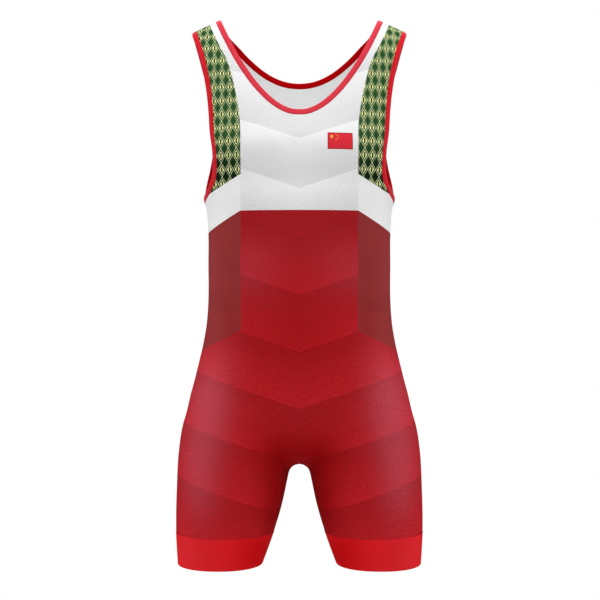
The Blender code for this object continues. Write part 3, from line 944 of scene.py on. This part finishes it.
class Finish:
    """One material under construction: each method adds nodes and gives their result."""

    def __init__(self, name, sheen=0.0, roughness=CLOTH_ROUGHNESS):
        self.material = bpy.data.materials.new(name)
        self.material.use_nodes = True
        self.tree = self.material.node_tree
        self.shader = self.tree.nodes["Principled BSDF"]
        settings = {
            "Roughness": roughness,
            "Sheen Weight": sheen,
            "Sheen Roughness": SHEEN_ROUGHNESS,
            "Sheen Tint": SHEEN_TINT,
            "Specular IOR Level": SPECULAR,
        }
        for socket, value in settings.items():
            self.shader.inputs[socket].default_value = value

    def wire(self, value, socket):
        """Links a result to a socket, or sets the socket to a number or colour."""
        if isinstance(value, Value):
            self.tree.links.new(value.socket, socket)
        elif socket.type == "VECTOR":
            socket.default_value = value[:3]
        else:
            socket.default_value = value

    def node(self, kind, inputs, **options):
        """The outputs of a new node, with its options set and its inputs wired."""
        node = self.tree.nodes.new(f"ShaderNode{kind}")
        for name, option in options.items():
            setattr(node, name, option)
        for name, value in inputs.items():
            self.wire(value, node.inputs[name])
        return {output.name: Value(self, output) for output in node.outputs if output.enabled}

    def math(self, operation, *values):
        return self.node("Math", dict(enumerate(values)), operation=operation)["Value"]

    def mix(self, share, first, second):
        """The first colour where share is 0 and the second where it is 1."""
        inputs = {"Factor": share, "A": first, "B": second}
        return self.node("Mix", inputs, data_type="RGBA")["Result"]

    def above(self, value, edge, soft=BORDER_SOFTNESS):
        """1 where a value is above an edge and 0 below it, with a soft step between."""
        inputs = {"Value": value - edge, "From Min": -soft / 2, "From Max": soft / 2}
        return self.node("MapRange", inputs)["Result"]

    def place(self, name="print_place"):
        """What the mesh holds for each point, in mm: print_place is its distance from the middle,
        its height in the diamond repeat and its height, and knit_place has its girth first.
        """
        vector = self.node("Attribute", {}, attribute_name=name)["Vector"]
        return self.node("SeparateXYZ", {"Vector": vector}).values()

    def where(self):
        """A point's place in metres."""
        return self.node("TexCoord", {})["Object"]

    def depth(self):
        """How far a point lies to the front or back of the middle, in mm."""
        return abs(self.node("SeparateXYZ", {"Vector": self.where()})["Y"]) / MM

    def toned(self, colour, from_middle, height, tones, deep=PAINTED_SHADE_RED):
        """A colour turned paler towards a painted highlight or deeper towards a painted shade round
        the places of a table.
        """
        paler = 0.0
        deeper = 0.0
        for middle, level, half_width, half_height, share in tones:
            wide = (from_middle - middle) / half_width
            tall = (height - level) / half_height
            here = self.math("EXPONENT", (wide * wide + tall * tall) * -1.0)
            if share > 0:
                paler = here * share + paler
            else:
                deeper = here * -share + deeper
        return self.mix(deeper, self.mix(paler, colour, PAINTED_HIGHLIGHT_PINK), deep)

    def noise_at(self, place, detail):
        """Noise from 0 to 1 with features about one unit long."""
        return self.node("TexNoise", {"Vector": place, "Scale": 1.0, "Detail": detail})["Fac"]

    def noise(self, scale):
        """Noise from 0 to 1, with a scale along each axis in features per metre."""
        stretched = self.node("Mapping", {"Vector": self.where(), "Scale": scale})["Vector"]
        return self.noise_at(stretched, NOISE_DETAIL)

    def varied(self, colour, value, share):
        """A colour made darker and lighter by a value from 0 to 1."""
        inputs = {"Vector": colour, "Scale": (value - 0.5) * share + 1.0}
        return self.node("VectorMath", inputs, operation="SCALE")["Vector"]

    def knit_rows(self):
        """The knit, from 0 to 1: short dashes in rows, each row half a dash off the next."""
        across, up, height = self.place("knit_place")
        sway = (self.noise(WAVE_SCALE) - 0.5) * KNIT_SWAY
        below = self.above(KNIT_BEND_HEIGHT, height, KNIT_BEND_FADE)
        bend = self.math("SQRT", across * across + KNIT_BEND_WIDTH**2) * KNIT_SLOPE
        level = up - bend * below
        ridge = self.math("SINE", (level + sway) / KNIT_PITCH * (2 * np.pi))
        dash = self.math("SINE", (across + sway) / KNIT_DASH * (2 * np.pi))
        return self.streaks(across, level) * below + (ridge * dash * 0.5 + 0.5)

    def streaks(self, across, level):
        """Longer streaks along the slanting rows, where the knit is pulled sideways."""
        parts = {"X": across / STREAK_LENGTH, "Y": level / STREAK_HEIGHT}
        place = self.node("CombineXYZ", parts)["Vector"]
        return (self.noise_at(place, STREAK_DETAIL) - 0.5) * STREAK_SHARE

    def knitted(self, colour, knit, relief):
        """Finishes the cloth: slow changes of tone over the panel, and the knit's relief in mm."""
        colour = self.varied(colour, self.noise(TONE_SCALE), TONE_SHARE)
        self.wire(colour, self.shader.inputs["Base Color"])
        bump = self.node("Bump", {"Height": knit, "Distance": relief * MM})["Normal"]
        self.wire(bump, self.shader.inputs["Normal"])
        return self.material

    def evenly_knitted(self, colour, kind):
        """Finishes the cloth with an even knit, which has no rows."""
        scale, contrast, relief = kind
        knit = self.noise(scale)
        return self.knitted(self.varied(colour, knit, contrast), knit, relief)


def chevrons(finish, from_middle, height, layout, colours, knit, contrast):
    """Tonal chevrons: each turns from the first colour at its upper line to the second at its
    lower one, and its knit grows stronger on the way down.
    """
    tip, period, slope, faint_above = layout
    level = height - from_middle * slope
    # Above the faint height the gradient is cut down: painted shade on the top red field
    strength = finish.math("MAXIMUM", finish.above(faint_above, level), FAINT_SHARE)
    share = finish.math("FRACT", (tip - level) / period) * strength
    knit = (knit - 0.5) * (share * KNIT_GAIN + KNIT_LEAST) + 0.5
    return finish.varied(finish.mix(share, *colours), knit, contrast)


def body_knit():
    """The front and the back: white above red, both with tonal chevrons."""
    finish = Finish("body_knit_print")
    across, _, height = finish.place()
    across = abs(across)
    knit = finish.knit_rows()
    reds = (RED_DARK, RED_BRIGHT)
    whites = (WHITE_BRIGHT, WHITE_DARK)
    red = chevrons(finish, across, height, RED_CHEVRONS, reds, knit, RED_KNIT)
    # Painted highlights on the hips and thighs, painted shade on the belly, crotch and inner thighs
    red = finish.toned(red, across, height, BODY_PAINTED_LIGHT_TONES)
    white = chevrons(finish, across, height, WHITE_CHEVRONS, whites, knit, WHITE_KNIT)
    colour = finish.mix(finish.above(height, RED_BORDER), red, white)
    return finish.knitted(colour, knit, BODY_RELIEF)


def from_repeat_middle(finish, value, middle, size):
    """How far a value lies from the nearest middle of a repeat, as a share of its size."""
    turns = (value - middle) / size + 0.5
    return abs(finish.math("FRACT", turns) - 0.5)


def diamonds(finish, across, repeat, height):
    """The repeat of pale lozenges in olive rings between green ones, under a pale lattice.
    The reach is 0 in the middle of a diamond, 1 on its edge and 2 in the middle of a green one.
    """
    on_left = finish.above(across, 0.0)
    middle = on_left * (DIAMOND_MIDDLE_LEFT - DIAMOND_MIDDLE_RIGHT) + DIAMOND_MIDDLE_RIGHT
    to_side = finish.math("MAXIMUM", REPEAT_FOLLOWS_SIDE - finish.depth(), 0.0)
    to_side = to_side * finish.above(REPEAT_TURNS_BELOW, height)
    round_body = to_side * (on_left * 2.0 - 1.0) + across
    wide = from_repeat_middle(finish, round_body, middle, DIAMOND_WIDTH)
    tall = from_repeat_middle(finish, repeat, DIAMOND_MIDDLE_HEIGHT, DIAMOND_HEIGHT)
    reach = (wide + tall) * 2.0
    slit = finish.math("MAXIMUM", wide / SLIT_HALF_WIDTH, tall / SLIT_HALF_HEIGHT)
    in_slit = finish.above(slit, 1.0, DIAMOND_SOFTNESS)
    in_lozenge = finish.above(reach, LOZENGE_REACH, DIAMOND_SOFTNESS)
    in_ring = finish.above(reach, 1.0, DIAMOND_SOFTNESS)
    in_lattice = finish.above(abs(reach - 1.0), LATTICE_HALF_WIDTH, LATTICE_SOFTNESS)
    green = finish.mix(finish.above(reach, GREEN_REACH, GREEN_SOFTNESS), GREEN_LIGHT, GREEN_DARK)
    ground = finish.mix(in_ring, OLIVE, green)
    # Painted shade on the green under the chest fold and near the armhole
    ground = finish.toned(ground, abs(across), height, GREEN_PAINTED_SHADE_TONES, SHADED_GREEN)
    colour = finish.mix(in_lozenge, finish.mix(in_slit, SLIT, PALE_YELLOW), ground)
    return finish.mix(in_lattice, LATTICE, colour)


def side_knit():
    """The side panels: the diamond repeat, a white band and red, parted by sloping borders."""
    finish = Finish("side_knit_print")
    across, repeat, height = finish.place()
    from_middle = abs(across)
    from_seam = from_middle - PANEL_SEAM
    above_red = finish.above(from_seam * RED_BORDER_SLOPE + height, RED_BORDER)
    above_white = finish.above(from_seam * GREEN_BORDER_SLOPE + height, GREEN_BORDER)
    # Painted shade and a faint painted highlight on the side panels' red
    red = finish.toned(SIDE_RED, from_middle, height, SIDE_PAINTED_LIGHT_TONES)
    colour = finish.mix(above_red, red, WHITE_BRIGHT)
    colour = finish.mix(above_white, colour, diamonds(finish, across, repeat, height))
    return finish.evenly_knitted(colour, SIDE_KNIT)


def plain_knit(name, colour, sheen=0.0, kind=SMOOTH_KNIT):
    """Even cloth of one colour."""
    return Finish(name, sheen).evenly_knitted(colour, kind)


def band_knit():
    """The leg bands: painted shade, deeper towards the inside of the leg, and a faint painted
    highlight outside.
    """
    finish = Finish("leg_band_knit")
    across, _, height = finish.place()
    colour = finish.toned(BAND_RED, abs(across), height, BAND_PAINTED_LIGHT_TONES, BAND_PAINTED_SHADE_RED)
    return finish.evenly_knitted(colour, SMOOTH_KNIT)


def flag_print():
    """The flag's field, with a thin darker rim."""
    finish = Finish("flag_print_cloth")
    across, _, height = finish.place()
    half_width, half_height = (size / 2 - FLAG_RIM for size in FLAG_SIZE)
    inside = finish.above(half_width, abs(across)) * finish.above(half_height, abs(height))
    knit = finish.knit_rows()
    colour = finish.varied(finish.mix(inside, FLAG_RIM_RED, FLAG_RED), knit, FLAG_KNIT)
    return finish.knitted(colour, knit, FLAG_RELIEF)


# ---------------------------------------------------------------- flag


def on_chest(places, rise):
    """Points of the chest at places across and up, on the cloth and a rise above it."""
    points = np.insert(places, 1, CHEST_DEPTH, axis=1)
    return raised(onto_figure(points, (0, 1, 0)), rise)


def film(name, places, faces, rise, material):
    """A closed film of print that lies on the chest. Its print is placed from its middle."""
    outer = on_chest(places, rise)
    inner = on_chest(places, rise - FLAG_WALL)
    spots = (places - FLAG_MIDDLE)[:, [0, 1, 1, 0]]
    return closed_sheet(name, outer, inner, spots, faces, (material,))


def flag(material):
    columns, rows = FLAG_CELLS
    across, up = np.meshgrid(np.linspace(-0.5, 0.5, columns + 1), np.linspace(0.5, -0.5, rows + 1))
    places = np.stack([across.ravel(), up.ravel()], axis=1) * FLAG_SIZE + FLAG_MIDDLE
    return film("flag_field", places, grid_faces(rows + 1, columns + 1), FLAG_RISE, material)


def stars(material):
    """The five stars as one piece. The small ones turn a point towards the large one."""
    scale = FLAG_SIZE[0] / FLAG_UNITS
    hoist = np.array(FLAG_MIDDLE) + (-FLAG_SIZE[0] / 2, FLAG_SIZE[1] / 2)
    places = []
    faces = []
    for across, down, radius, turned in STARS:
        first = len(places)
        middle = hoist + (across * scale, -down * scale)
        places.append(middle)
        for corner in range(STAR_CORNERS):
            angle = np.radians(UPRIGHT + turned + corner * 360 / STAR_CORNERS)
            reach = radius * scale * (STAR_INNER if corner % 2 else 1)
            places.append(middle + reach * np.array((np.cos(angle), np.sin(angle))))
            faces.append((first, first + 1 + corner, first + 1 + (corner + 1) % STAR_CORNERS))
    return film("flag_stars", np.array(places), faces, STAR_RISE, material)


# ---------------------------------------------------------------- studio


def add_camera():
    lens = bpy.data.cameras.new("camera")
    lens.lens = CAMERA_LENS
    lens.sensor_width = CAMERA_SENSOR
    camera = add_object("camera", lens, CAMERA_PLACE)
    camera.rotation_euler = (np.pi / 2, 0, 0)
    bpy.context.scene.camera = camera


def add_light(name, place, power, width, height):
    """A soft rectangular light aimed at the middle of the garment."""
    lamp = bpy.data.lights.new(name, "AREA")
    lamp.shape = "RECTANGLE"
    lamp.size = width
    lamp.size_y = height
    lamp.energy = power
    aim = Vector(LIGHT_TARGET) - Vector(place)
    add_object(name, lamp, place).rotation_euler = aim.to_track_quat("-Z", "Y").to_euler()


def add_world():
    """A white surround that shows at full white and lights the garment more gently."""
    world = bpy.data.worlds.new("white_surround")
    bpy.context.scene.world = world
    world.use_nodes = True
    nodes = world.node_tree.nodes
    background = nodes["Background"]
    path = nodes.new("ShaderNodeLightPath")
    strength = nodes.new("ShaderNodeMapRange")
    world.node_tree.links.new(path.outputs["Is Camera Ray"], strength.inputs["Value"])
    strength.inputs["To Min"].default_value = WORLD_LIGHT
    strength.inputs["To Max"].default_value = WORLD_SEEN
    world.node_tree.links.new(strength.outputs["Result"], background.inputs["Strength"])
    background.inputs["Color"].default_value = (1, 1, 1, 1)


def add_floor():
    """A pale round floor that fades out towards its edge."""
    turn = np.linspace(0, 2 * np.pi, FLOOR_SIDES, endpoint=False)
    points = np.stack([np.cos(turn), np.sin(turn), 0 * turn], axis=1) * FLOOR_RADIUS
    mesh = bpy.data.meshes.new("floor")
    mesh.from_pydata(points.tolist(), [], [tuple(range(FLOOR_SIDES))])
    finish = Finish("floor_pale", roughness=FLOOR_ROUGHNESS)
    tone = finish.mix(finish.noise(FLOOR_TONE_SCALE), FLOOR_PALE, FLOOR_PALER)
    finish.wire(tone, finish.shader.inputs["Base Color"])
    from_middle = finish.node("VectorMath", {"Vector": finish.where()}, operation="LENGTH")["Value"]
    fade = (FLOOR_RADIUS - from_middle) / (FLOOR_RADIUS - FLOOR_FADES_FROM)
    finish.wire(finish.above(fade, 0.5, 1.0), finish.shader.inputs["Alpha"])
    mesh.materials.append(finish.material)
    add_object("floor", mesh, (0, 0, FLOOR_HEIGHT))


# ---------------------------------------------------------------- the garment


def seam_lines(net):
    """The sewn lines of one quarter below the neck: each a line of the net."""
    side_low = row_of("side_panel_low")
    band_top = row_of("band_top")
    return {
        "panel": net[: side_low + 1, SEAM_COLUMN],
        "panel_low": net[side_low, SEAM_COLUMN:],
        "side": net[side_low : band_top + 1, -1],
        "inseam": net[row_of("crotch") : band_top + 1, 0],
        "band": net[band_top],
    }


def part(piece, node=None):
    """Puts a piece on the body and, if it stands for a CAD node, hides that node."""
    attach(piece, BODY)
    if node:
        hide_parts(node)
    return piece


def add_panels(nets, prints, made):
    """The front, the back, the side panels and the leg bands."""
    places = print_places(nets)
    reverse = plain_knit("reverse_knit", REVERSE_WHITE, REVERSE_SHEEN, REVERSE_KNIT)
    band = band_knit()
    for where, net in nets.items():
        piece = centre_panel(where, net, places[where], (prints["body"], reverse))
        made[f"{where}_panel"] = part(piece, f"{where}_panel")
    for side in SIDES:
        piece = side_panel(side, nets, places, (prints["side"], reverse))
        made[f"side_panel_{side}"] = part(piece, f"side_panel_{side}")
        piece = leg_band(side, nets, places, (band, band))
        made[f"leg_band_{side}"] = part(piece, f"leg_band_{side}")


def add_bindings(nets, made):
    """The bindings, each with its row of stitches."""
    # The neck binding takes the red with the painted sheen highlight
    neck_cloth = plain_knit("neck_binding_knit", NECK_RED_PAINTED_SHEEN, BINDING_SHEEN)
    armhole_cloth = plain_knit("armhole_binding_knit", ARMHOLE_RED, BINDING_SHEEN)
    # The bindings' inner halves take a darker red: painted shade
    reverse = plain_knit("binding_inner_painted_shade_knit", BINDING_INNER_PAINTED_SHADE_RED)
    thread = plain_knit("binding_thread", THREAD_RED, THREAD_SHEEN)
    armhole = armhole_edge(nets)
    middle = np.array(ARMHOLE_MIDDLE)
    for name, edge, opening, cloth in (
        ("neck_binding", neck_edge(nets), np.array(NECK_MIDDLE), neck_cloth),
        ("armhole_binding_left", armhole, middle, armhole_cloth),
        ("armhole_binding_right", armhole * MIRROR, middle * MIRROR, armhole_cloth),
    ):
        piece = binding(f"{name}_strip", edge, opening, (cloth, reverse))
        made[name] = part(piece, name)
        line = onto_figure(edge + across_binding(edge, opening) * BINDING_STITCHES_AT)
        points, faces = stitches([line], BINDING_MIDDLE + BINDING_HALF_WALL, closed=True)
        part(mesh_object(f"{name}_stitches", points, faces, materials=(thread,)))


def add_seam_stitches(nets, prints):
    """One piece of stitches for each kind of panel on each side of the garment."""
    for side, turned in zip(SIDES, (1, -1)):
        for kind, seams in STITCHED_SEAMS.items():
            rows = []
            for where, net in nets.items():
                facing = turned if where == "front" else -turned
                lines = seam_lines(net)
                for seam, beside in seams:
                    line = lines[seam] * (turned, 1, 1)
                    rows.append(sewn_line(line, beside * facing * SEAM_STITCHES_AT))
            points, faces = stitches(rows, SEAM_STITCH_RISE)
            spots = points[:, [0, 2, 2, 0]]
            piece = mesh_object(f"{kind}_stitches_{side}", points, faces, spots, (prints[kind],))
            part(piece)


def build():
    """Makes every piece of the garment."""
    nets = {"front": quarter_net(FRONT_SECTIONS), "back": quarter_net(BACK_SECTIONS)}
    prints = {"body": body_knit(), "side": side_knit()}
    made = {}
    add_panels(nets, prints, made)
    add_bindings(nets, made)
    part(flag(flag_print()))
    part(stars(plain_knit("flag_star_print", FLAG_YELLOW)))
    add_seam_stitches(nets, prints)


build()
add_camera()
add_world()
add_floor()
for light in LIGHTS:
    add_light(*light)
bpy.context.scene.view_settings.view_transform = "Standard"
